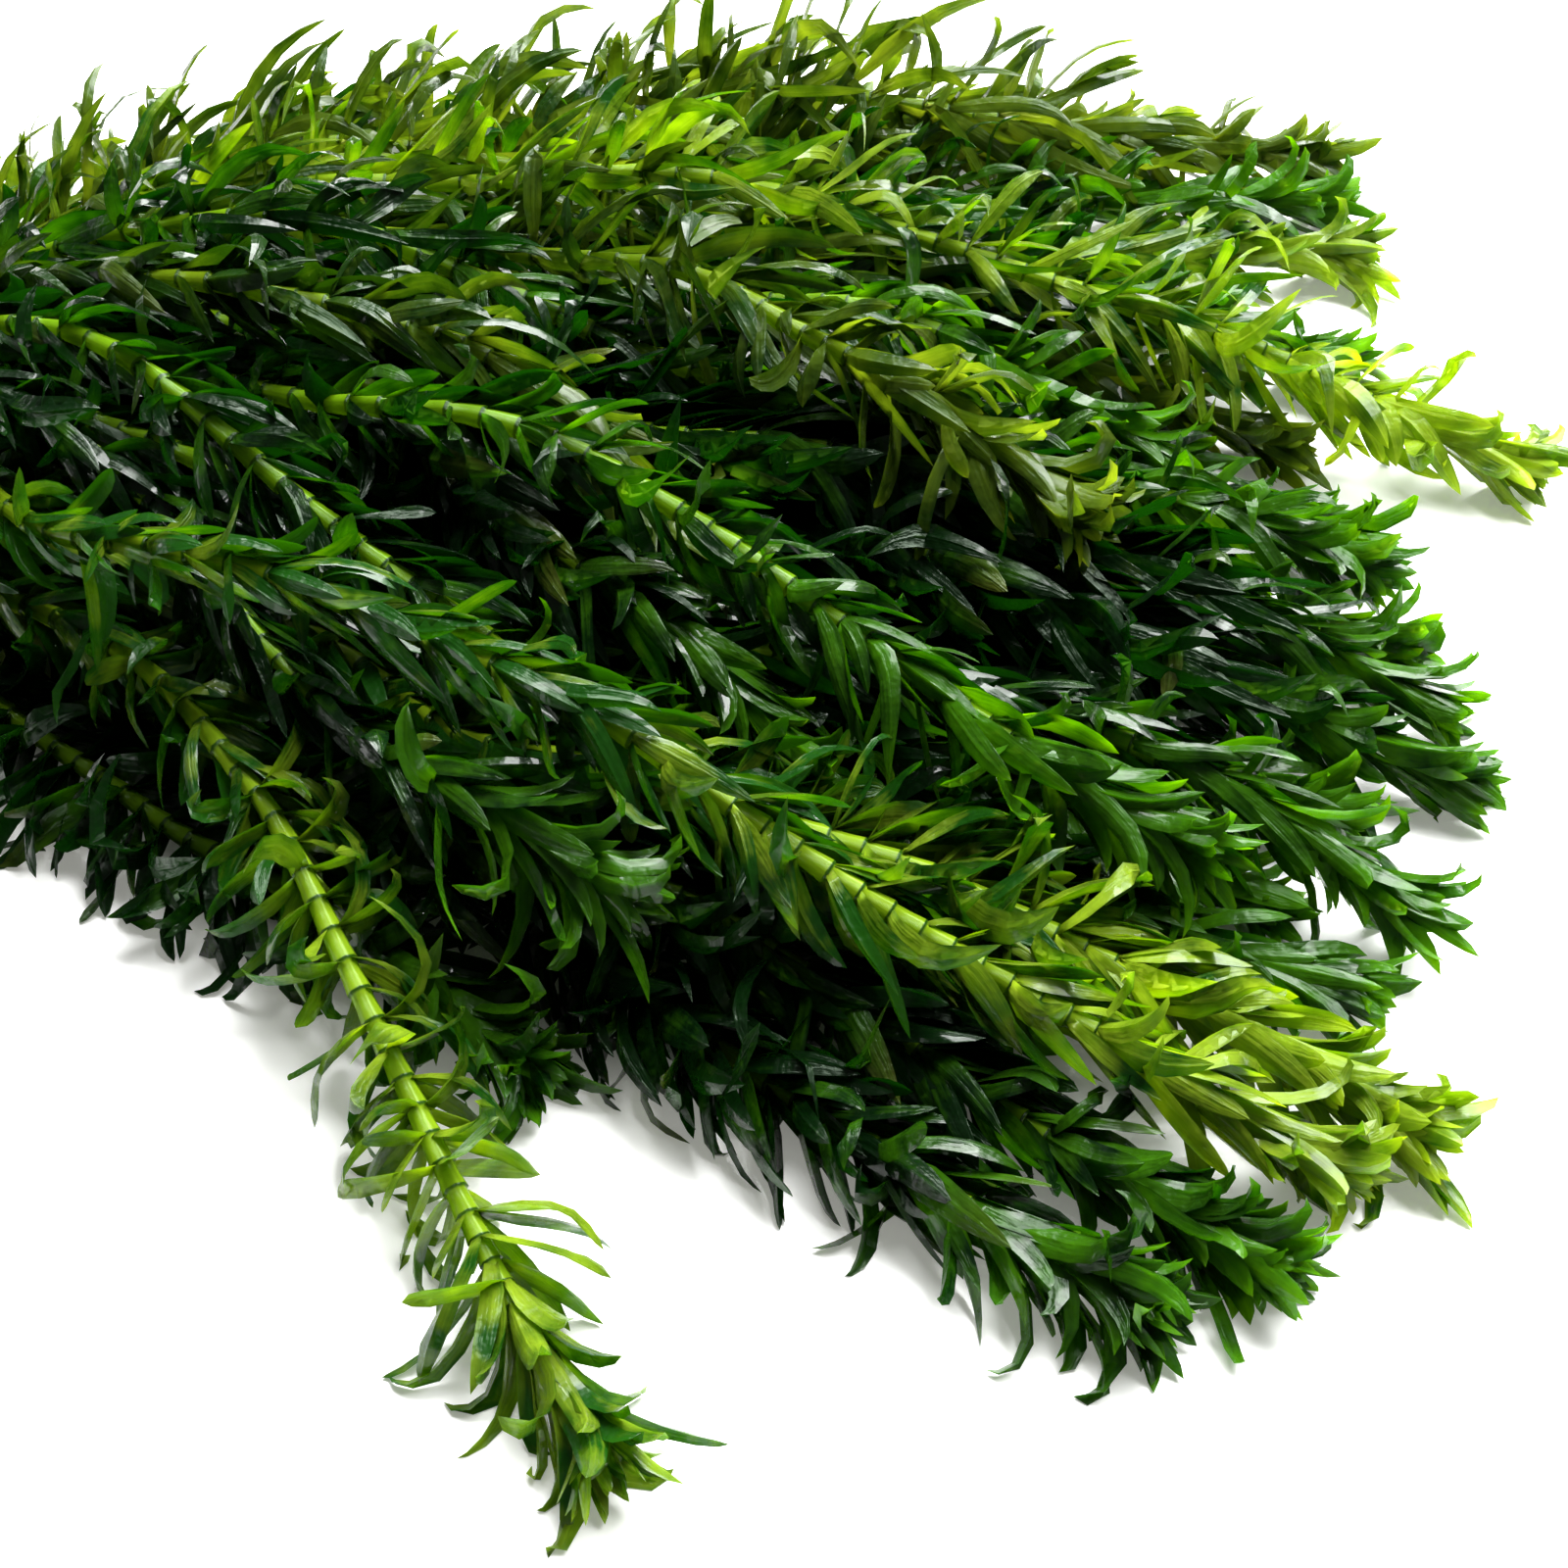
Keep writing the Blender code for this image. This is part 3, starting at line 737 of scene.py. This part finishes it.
# %% A wire that can be calculated with
def feed(tree, socket, value):
    """Links a wire to the socket, or gives the socket a plain value."""
    if isinstance(value, Wire):
        tree.links.new(value.socket, socket)
    else:
        socket.default_value = value


class Wire:
    """A node's output. Maths on it adds a Math node and gives that node's output as a new wire."""

    def __init__(self, tree, socket):
        self.tree = tree
        self.socket = socket

    def math(self, operation, *others):
        node = self.tree.nodes.new("ShaderNodeMath")
        node.operation = operation
        for socket, value in zip(node.inputs, (self, *others)):
            feed(self.tree, socket, value)
        return Wire(self.tree, node.outputs[0])

    def __add__(self, other):
        return self.math("ADD", other)

    def __sub__(self, other):
        return self.math("SUBTRACT", other)

    def __rsub__(self, other):
        return self.math("MULTIPLY_ADD", -1.0, other)

    def __mul__(self, other):
        return self.math("MULTIPLY", other)

    def __truediv__(self, other):
        return self.math("DIVIDE", other)

    __radd__, __rmul__ = __add__, __mul__

    def clamped(self):
        return self.math("MAXIMUM", 0.0).math("MINIMUM", 1.0)

    def step(self, low, high):
        """0 below low, 1 above high, straight between them."""
        return ((self - low) / (high - low)).clamped()


# %% A recipe for a material
class Recipe:
    """A new material: node() adds any node, and its settings are made before its sockets are fed."""

    def __init__(self, name):
        self.material = bpy.data.materials.new(name)
        self.material.use_nodes = True
        self.tree = self.material.node_tree
        self.tree.nodes.clear()

    def node(self, kind, settings=None, inputs=None, output=0):
        node = self.tree.nodes.new("ShaderNode" + kind)
        for key, value in (settings or {}).items():
            setattr(node, key, value)
        for key, value in (inputs or {}).items():
            feed(self.tree, node.inputs[key], value)
        return Wire(self.tree, node.outputs[output])

    def uv(self, name):
        """The two numbers of a UV map, as two wires."""
        place = self.node("UVMap", {"uv_map": name})
        return [self.node("SeparateXYZ", inputs={"Vector": place}, output=axis) for axis in (0, 1)]

    def noise(self, scale, detail=2.0, place=None):
        """Noise from 0 to 1 in the piece's own space, in lumps of about 1 / scale metres."""
        place = place or self.node("TexCoord", output="Object")
        return self.node("TexNoise", inputs={"Vector": place, "Scale": scale, "Detail": detail})

    def blend(self, factor, low, high):
        """The colour low where factor is 0 and high where it is 1."""
        return self.node("Mix", {"data_type": "RGBA"}, {0: factor, 6: low, 7: high}, output=2)

    def bump(self, height, distance, strength=1.0):
        return self.node("Bump", inputs={"Height": height, "Distance": distance, "Strength": strength})

    def finish(self, shader):
        output = self.tree.nodes.new("ShaderNodeOutputMaterial")
        self.tree.links.new(shader.socket, output.inputs["Surface"])
        return self.material


# %% [markdown]
# ## Leaf material
#
# A living leaf is a thin green filter. Light that strikes it from the viewer's side comes back dark
# green, and light from behind comes through bright yellow-green. So the shader mixes a surface with a
# translucent one, and young leaves get more of the second. Here and there a film of water lies on the
# leaves, with a sharp shine of its own. Two UV maps feed the shader: one says where on the blade a
# point lies, the other how old the leaf is, with a random number.

# %% Leaf material
LEAF_LOOKS = {
    "green_leaves": {"old": (0.0013, 0.008, 0.0014, 1), "young": (0.055, 0.185, 0.004, 1),
                     "old_through": (0.11, 0.4, 0.018, 1), "young_through": (0.5, 0.8, 0.018, 1),
                     "thin": 0.3},
    "lime_leaves": {"old": (0.006, 0.045, 0.003, 1), "young": (0.42, 0.55, 0.03, 1),
                    "old_through": (0.2, 0.48, 0.02, 1), "young_through": (0.76, 0.88, 0.06, 1),
                    "thin": 0.38},
    "olive_leaves": {"old": (0.008, 0.03, 0.003, 1), "young": (0.115, 0.18, 0.014, 1),
                     "old_through": (0.17, 0.32, 0.03, 1), "young_through": (0.58, 0.66, 0.1, 1),
                     "thin": 0.4},
}
WET = {"IOR": 1.33, "Specular Tint": (0.76, 0.97, 0.74, 1)}
FADED = (0.17, 0.20, 0.020, 1)
BLOTCHES, FILMS, WRINKLES = 160.0, 120.0, 800.0
STREAKS_ALONG, STREAKS_ACROSS = 3.0, 10.0
SEEDS = (57.0, 31.0)
MIDRIB_WIDTH, MARGIN_FROM = 0.22, 0.7
LEAF_RELIEF = 0.25 * MM
YOUNG_THINNER = 0.36


def leaf_material(slot, old, young, old_through, young_through, thin):
    """Wet leaf. Its colour goes from young to old with age, chance and blotches, and from the leaf's pale
    base to its dark end. The pale base and the pale ends of young leaves are partly painted light that
    comes through the blade. The two through colours are those of the light that comes from behind, and
    thin is how much of it there is at least. A few leaves have faded to yellow at their tips."""
    recipe = Recipe(slot + "_wet")
    along, across = recipe.uv("blade")
    age, chance = recipe.uv("growth")
    blotch = recipe.noise(BLOTCHES)
    film = recipe.noise(FILMS).step(0.46, 0.50)
    wrinkle = recipe.noise(WRINKLES, 1.0)
    own = recipe.node("CombineXYZ", inputs={
        0: along * STREAKS_ALONG + chance * SEEDS[0], 1: across * STREAKS_ACROSS, 2: chance * SEEDS[1]})
    streaks = recipe.noise(1.0, place=own)
    off_middle = (across - 0.5).math("ABSOLUTE") * 2.0
    midrib = 1 - off_middle.step(0.0, MIDRIB_WIDTH)
    margin = off_middle.step(MARGIN_FROM, 1.0)
    youth = (1 - age) * 0.66
    chances = (chance - 0.55) * 0.42
    patches = (blotch - 0.5) + (streaks - 0.5) * 0.45
    # The pale base is partly the leaf's own tone and partly painted light that comes through the blade; it
    # also raises the light that really comes through.
    pale_base_and_painted_light = (0.42 - along) * (0.8 - 0.5 * age)
    lines = midrib * 0.06 - margin * 0.12
    # The pale ends of young leaves are partly their own tone and partly painted light that comes through
    # them.
    young_tip_and_painted_light = along.step(0.7, 1.0) * (1 - age) * 0.6
    # This sum, painted light included, sets the base colour and the share of light that comes through.
    fresh_and_painted_light = (youth + chances + patches + pale_base_and_painted_light + lines + young_tip_and_painted_light).clamped()
    faded = chance.step(0.9, 0.98) * along.step(0.4, 1.0) * age * 0.35
    relief = streaks * 0.6 + midrib * 0.4 + wrinkle * 0.8 + blotch * 3.0
    surface = recipe.node("BsdfPrincipled", inputs={
        "Base Color": recipe.blend(faded, recipe.blend(fresh_and_painted_light, old, young), FADED),
        "Roughness": 0.2 + wrinkle * 0.16, "Normal": recipe.bump(relief, LEAF_RELIEF),
        "Coat Weight": film * 0.7, "Coat Roughness": 0.05, "Coat IOR": 1.4, **WET})
    dim = recipe.node("BsdfTranslucent", inputs={"Color": old_through})
    bright = recipe.node("BsdfTranslucent", inputs={"Color": young_through})
    light_through = recipe.node("MixShader", inputs={0: fresh_and_painted_light, 1: dim, 2: bright})
    share = (thin + fresh_and_painted_light * YOUNG_THINNER).clamped()
    return recipe.finish(recipe.node("MixShader", inputs={0: share, 1: surface, 2: light_through}))


LEAF_MATERIALS = {slot: leaf_material(slot, **look) for slot, look in LEAF_LOOKS.items()}
print("leaf materials for", ", ".join(LEAF_MATERIALS))

# %% [markdown]
# ## Stem material
#
# The stem is paler and clearer than the leaves, like a stalk of celery: bright yellow-green, with fine
# lengthwise streaks and a narrow dark line at each joint, where the bases of the leaves sit. The UV
# map counts joints along the stem, so the fraction of that number says how far a point is from one.

# %% Stem material
STEM_LOOKS = {
    "green_leaves": {"dark": (0.004, 0.020, 0.001, 1), "bright": (0.19, 0.38, 0.005, 1)},
    "lime_leaves": {"dark": (0.01, 0.04, 0.002, 1), "bright": (0.34, 0.53, 0.012, 1)},
    "olive_leaves": {"dark": (0.01, 0.03, 0.002, 1), "bright": (0.20, 0.31, 0.006, 1)},
}
STEM_THROUGH = (0.50, 0.76, 0.012, 1)
STREAKS_ROUND = 9
COLLAR_AFTER, COLLAR_BEFORE = (0.03, 0.09), (0.94, 0.97)
STEM_RELIEF = 0.1 * MM


def stem_material(slot, dark, bright):
    """Clear, wet stem: bright between the joints and dark in the collar at each joint."""
    recipe = Recipe(slot + "_stem")
    joint, around_stem = recipe.uv("blade")
    fraction = joint.math("FRACT")
    collar = 1 - fraction.step(*COLLAR_AFTER) * (1 - fraction.step(*COLLAR_BEFORE))
    streaks = (around_stem * (2 * math.pi * STREAKS_ROUND)).math("SINE") * 0.5 + 0.5
    cloud = recipe.noise(120.0)
    clear = ((1 - collar) * (0.45 + 0.15 * streaks + (cloud - 0.5) * 0.9)).clamped()
    surface = recipe.node("BsdfPrincipled", inputs={
        "Base Color": recipe.blend(clear, dark, bright), "Roughness": 0.16 + cloud * 0.2,
        "Normal": recipe.bump(streaks * 0.4 + cloud, STEM_RELIEF, 0.6), **WET})
    light_through = recipe.node("BsdfTranslucent", inputs={"Color": STEM_THROUGH})
    share = 0.2 + clear * 0.25
    return recipe.finish(recipe.node("MixShader", inputs={0: share, 1: surface, 2: light_through}))


STEM_MATERIALS = {slot: stem_material(slot, **look) for slot, look in STEM_LOOKS.items()}
print("stem materials for", ", ".join(STEM_MATERIALS))

# %% [markdown]
# ## Put a shoot together
#
# A stem and its leaves grew as one, so they become one mesh with two materials. Its arrays go in whole,
# because going face by face would be slow.


# %% A mesh from arrays
def mesh_piece(name, points, faces, materials, face_material, maps, sharp=None):
    """A piece from its points, a list of arrays of faces, its materials, each face's material number,
    UV maps as one pair per point, and a function that says which edges are sharp."""
    mesh = bpy.data.meshes.new(name)
    used = np.concatenate([array.reshape(-1) for array in faces]).astype(np.int32)
    sizes = np.concatenate([np.full(len(array), array.shape[1]) for array in faces])
    mesh.vertices.add(len(points))
    mesh.loops.add(len(used))
    mesh.polygons.add(len(sizes))
    mesh.vertices.foreach_set("co", points.astype(np.float32).reshape(-1))
    mesh.loops.foreach_set("vertex_index", used)
    mesh.polygons.foreach_set("loop_start", np.concatenate([[0], np.cumsum(sizes)[:-1]]).astype(np.int32))
    mesh.polygons.foreach_set("material_index", face_material.astype(np.int32))
    for material in materials:
        mesh.materials.append(material)
    for map_name, pairs in maps.items():
        layer = mesh.uv_layers.new(name=map_name)
        layer.uv.foreach_set("vector", pairs[used].astype(np.float32).reshape(-1))
    mesh.update(calc_edges=True)
    if sharp is not None:
        edges = np.empty(len(mesh.edges) * 2, np.int32)
        mesh.edges.foreach_get("vertices", edges)
        marks = mesh.attributes.new("sharp_edge", "BOOLEAN", "EDGE")
        marks.data.foreach_set("value", sharp(edges.reshape(-1, 2)))
    mesh.validate()
    piece = bpy.data.objects.new(name, mesh)
    bpy.context.scene.collection.objects.link(piece)
    return piece


# %% A leafy shoot
SEED_BEFORE_FIRST = 99
RIGHT, LEFT, TIP, FOLD = 1, 3, 4, 5
CORNER_OF_POINT = np.append(np.tile(np.arange(CORNERS), ROWS), TIP)
ALONG_OF_POINT = np.append(np.repeat(RING_PLACES[:-1], CORNERS), 1.0)
ACROSS_OF_CORNER = np.array([0.5, 1.0, 0.5, 0.0, 0.5])


def leafy_shoot(name):
    """Stem and leaves of one shoot as one piece that stands for its CAD solid."""
    line, slot = LINES[name], slot_of(name)
    rng = np.random.default_rng(SEED_BEFORE_FIRST + line["number"])
    leaf = pressed_by_neighbours(line, leaf_measures(line, slot, rng))
    places, radii, joint = stem_stations(line, whorl_places(line))
    stem = stem_points(line, places, radii)
    stem_quads, stem_ends = stem_faces(len(places))
    blades = blade_points(line, leaf)
    count = len(blades)
    first = len(stem) + np.arange(count)[:, None, None] * BLADE_COUNT
    faces = [stem_quads, stem_ends,
             (first + BLADE_QUADS).reshape(-1, 4), (first + BLADE_TIPS).reshape(-1, 3)]
    stem_share = len(stem_quads) + len(stem_ends)
    face_material = np.repeat([1, 0], [stem_share, sum(map(len, faces)) - stem_share])
    blade_map = np.stack([ALONG_OF_POINT, ACROSS_OF_CORNER[CORNER_OF_POINT]], axis=1)
    stem_turn = np.tile(np.arange(STEM_SIDES) / STEM_SIDES, len(places))
    stem_map = np.stack([np.append(np.repeat(joint, STEM_SIDES), [joint[0], joint[-1]]),
                         np.append(stem_turn, [0.5, 0.5])], axis=1)
    growth = np.repeat(np.stack([leaf["age"], leaf["chance"]], axis=1), BLADE_COUNT, axis=0)
    maps = {"blade": np.concatenate([stem_map, np.tile(blade_map, (count, 1))]),
            "growth": np.concatenate([np.zeros((len(stem), 2)), growth])}
    middle_kind = np.where(leaf["chance"] < FOLDED_SHARE, FOLD, 0)
    kind = np.where(CORNER_OF_POINT == 0, middle_kind[:, None], CORNER_OF_POINT).reshape(-1)
    kind = np.concatenate([np.full(len(stem), -1), kind])

    def creases(edges):
        """An edge is a crease if it runs along a margin or a fold, or from one of those to the tip."""
        one, other = kind[edges[:, 0]], kind[edges[:, 1]]
        sharp = np.isin(one, (RIGHT, LEFT, FOLD)) | np.isin(other, (RIGHT, LEFT, FOLD))
        return sharp & ((one == other) | (one == TIP) | (other == TIP))

    materials = [LEAF_MATERIALS[slot], STEM_MATERIALS[slot]]
    piece = mesh_piece("leafy_" + name, np.concatenate([stem, blades.reshape(-1, 3)]), faces, materials,
                       face_material, maps, creases)
    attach(piece, "root")
    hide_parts(name)
    return piece


leafy_shoots = [leafy_shoot(name) for name in SHOOTS]
triangles = sum(len(polygon.vertices) - 2 for piece in leafy_shoots for polygon in piece.data.polygons)
print(len(leafy_shoots), "leafy shoots,", triangles, "triangles")

# %% [markdown]
# ## The rubber band
#
# A rubber band holds the cut ends. Its three turns lie side by side as one closed surface of two
# parameters: a profile with three rounded humps outside and a flat inside, carried round the bunch.
# The turns sway a little, because nobody winds a band evenly.

# %% Band
BAND_THICKNESS = 1.3 * MM
BAND_TURNS = 3
TURN_POINTS = 9
INNER_POINTS = 6
BAND_STEPS = 120
GROOVE_DEPTH = 0.75
SWAY = 0.35 * MM


def band_points():
    """Rings of points round the band's axis. Outside, the radius is the inner radius + thickness *
    (1 - d + d * sqrt(1 - w * w)), w going from -1 to 1 over each turn and d being the groove's depth."""
    outer_radius = (band_high.z - band_low.z) / 2
    half = (band_high.x - band_low.x) / 2
    across = np.linspace(-1, 1, BAND_TURNS * TURN_POINTS + 1)
    within = 2 * ((across + 1) / 2 * BAND_TURNS % 1) - 1
    hump = 1 - GROOVE_DEPTH + GROOVE_DEPTH * np.sqrt(np.maximum(1 - within**2, 0))
    inner = np.linspace(1, -1, INNER_POINTS)
    place = np.concatenate([across, inner]) * half
    rise = np.concatenate([hump, np.zeros(INNER_POINTS)])
    angle = np.linspace(0, 2 * math.pi, BAND_STEPS, endpoint=False)[:, None]
    sway = SWAY * np.sin(angle + 2 * place / half) * (1 - (place / half) ** 2)
    radius = outer_radius - BAND_THICKNESS * (1 - rise)
    points = np.stack([place + sway, radius * np.sin(angle), radius * np.cos(angle)], axis=-1)
    return points + np.array(BAND_CENTRE)


# %% Rubber
RUBBER_DARK = (0.20, 0.10, 0.035, 1)
RUBBER_LIGHT = (0.36, 0.21, 0.085, 1)


def rubber_material():
    """Matt rubber, mottled at 3 mm and wrinkled at a fifth of that."""
    recipe = Recipe("tan_rubber")
    mottle = recipe.noise(300.0, 3.0)
    wrinkle = recipe.noise(1600.0)
    colour = recipe.blend(mottle.step(0.3, 0.7), RUBBER_DARK, RUBBER_LIGHT)
    return recipe.finish(recipe.node("BsdfPrincipled", inputs={
        "Base Color": colour, "Roughness": 0.48 + mottle * 0.2,
        "Normal": recipe.bump(wrinkle + mottle, 0.15 * MM)}))


rings_of_band = band_points()
band_quads = quads_of(*rings_of_band.shape[:2], rows_closed=True)
band = mesh_piece("rubber_band", rings_of_band.reshape(-1, 3), [band_quads], [rubber_material()],
                  np.zeros(len(band_quads)), {})
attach(band, "root")
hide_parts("band")
print("the band has", 2 * len(band_quads), "triangles")


# %% [markdown]
# ## The ground
#
# The ground is white, and it glows a little: painted light that keeps it nearly white in the shadow.
# Deep under the heap the glow is dimmed to a painted shade, so the gaps there are dark. The board is
# therefore a grid of points, and each one carries how many stems lie close to it.

# %% Ground grid
GROUND_SIZE = 6.0
GROUND_DEPTH = 0.1 * MM
NEAR_GROUND = 260 * MM
NEAR_STEPS = 80
STEM_POINT_STEP = 9
SHADE_WIDTH = 16 * MM
FEW_STEMS, MANY_STEMS = 3.5, 10.0


def ground_points():
    """A flat square grid: fine steps near the bunch, and one long step to the edge all round."""
    near = np.linspace(-NEAR_GROUND, NEAR_GROUND, NEAR_STEPS)
    places = np.concatenate([[-GROUND_SIZE / 2], near, [GROUND_SIZE / 2]])
    x, y = np.meshgrid(places, places, indexing="ij")
    return np.stack([x, y, np.full_like(x, -GROUND_DEPTH)], axis=-1)


def painted_shade_mask(points):
    """Mask of the painted shade on the ground: 0 on open ground and 1 deep under the heap, from the sum of
    exp(-(d / w)^2) over the points of all stems, d being their distance seen from above and w the width
    of the shade."""
    stems = [line["points"][line["at"] < line["length"]][::STEM_POINT_STEP, :2] for line in LINES.values()]
    stems = np.concatenate(stems)
    squares = (points**2).sum(axis=1)[:, None] + (stems**2).sum(axis=1) - 2 * points @ stems.T
    return smooth(FEW_STEMS, MANY_STEMS, np.exp(-squares / SHADE_WIDTH**2).sum(axis=1))


# %% Ground material
BOARD_DARK, BOARD_LIGHT = (0.86, 0.865, 0.86, 1), (0.9, 0.9, 0.895, 1)
# The glow is painted light on open ground, and under the heap it is dimmed to a painted shade.
GROUND_PAINTED_LIGHT = (1.0, 1.0, 0.92, 1)
GROUND_PAINTED_SHADE = (0.04, 0.05, 0.03, 1)
GROUND_PAINTED_LIGHT_STRENGTH = 0.25


def ground_material():
    """Plain pale board, faintly clouded. It glows with painted light where little lies on it, and
    under the heap the glow is dimmed to a painted shade.
    """
    recipe = Recipe("pale_board")
    painted_shade, _ = recipe.uv("painted_shade_mask")
    return recipe.finish(recipe.node("BsdfPrincipled", inputs={
        "Base Color": recipe.blend(recipe.noise(3.0), BOARD_DARK, BOARD_LIGHT), "Roughness": 0.55,
        # Emission: painted light on open ground, dimmed to a painted shade under the heap.
        "Emission Color": recipe.blend(painted_shade, GROUND_PAINTED_LIGHT, GROUND_PAINTED_SHADE),
        "Emission Strength": GROUND_PAINTED_LIGHT_STRENGTH}))


grid = ground_points()
ground_quads = quads_of(*grid.shape[:2], columns_closed=False)[:, TURNED_OVER]
grid = grid.reshape(-1, 3)
# How deep under the heap each point of the ground lies, for its painted shade.
painted_shade_values = painted_shade_mask(grid[:, :2])
ground = mesh_piece("ground", grid, [ground_quads], [ground_material()], np.zeros(len(ground_quads)),
                    {"painted_shade_mask": np.stack([painted_shade_values, 0 * painted_shade_values], axis=1)})
print("a ground of", GROUND_SIZE, "m, with", len(ground_quads), "squares")
